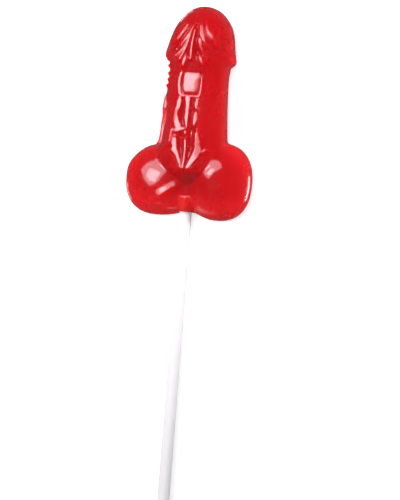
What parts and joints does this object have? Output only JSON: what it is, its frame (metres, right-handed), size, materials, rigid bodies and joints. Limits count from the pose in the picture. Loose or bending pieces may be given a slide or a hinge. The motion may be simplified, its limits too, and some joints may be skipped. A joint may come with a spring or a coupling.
{
  "type": "lollipop",
  "caption": "Novelty hard candy lollipop: a glossy translucent red penis-shaped casting with a flat back, on a straight white paper stick.",
  "frame": {"origin": "on the candy's flat back, midway between the two balls, under the stick's axis", "axes": "+X to the right of the shown face, +Y along the stick towards the candy's tip, +Z out of the shown face, away from the flat back"},
  "size_m": [0.0539, 0.2117, 0.0185],
  "materials": {
    "candy": "glossy translucent cherry-red boiled sugar",
    "stick": "smooth matt rolled white paper"
  },
  "bodies": {
    "root": {"candy": "candy", "stick": "stick"}
  },
  "joints": []
}
